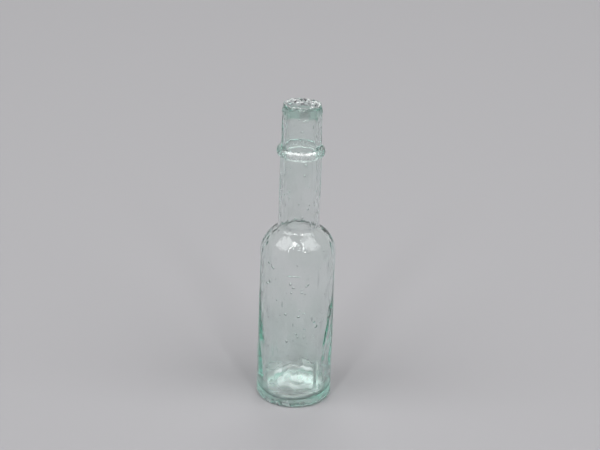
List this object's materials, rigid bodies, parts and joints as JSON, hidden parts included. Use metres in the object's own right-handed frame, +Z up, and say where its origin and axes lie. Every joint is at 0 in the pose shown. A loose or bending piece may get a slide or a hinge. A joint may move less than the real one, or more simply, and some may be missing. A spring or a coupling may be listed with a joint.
{
  "type": "glass bottle",
  "caption": "Small hand-finished round glass bottle with pushed-up base, rounded shoulder, long straight neck, neck ring, thick sleeve and rough open lip with a cork bore.",
  "frame": {"origin": "centre of the resting ring under the base, on the plane the bottle stands on", "axes": "+Z up along the bottle's axis, out of the mouth; -Y is the side that faces the viewer; the bottle is round, so X and Y are free"},
  "size_m": [0.044, 0.044, 0.18],
  "materials": {
    "aqua_glass": "clear pale aqua glass, glossy and slightly wavy, with seed bubbles, fine scratches and a rough sheared lip"
  },
  "bodies": {
    "root": {"base": "aqua_glass", "body": "aqua_glass", "shoulder": "aqua_glass", "neck": "aqua_glass", "neck_ring": "aqua_glass", "sleeve": "aqua_glass", "lip": "aqua_glass"}
  },
  "joints": []
}
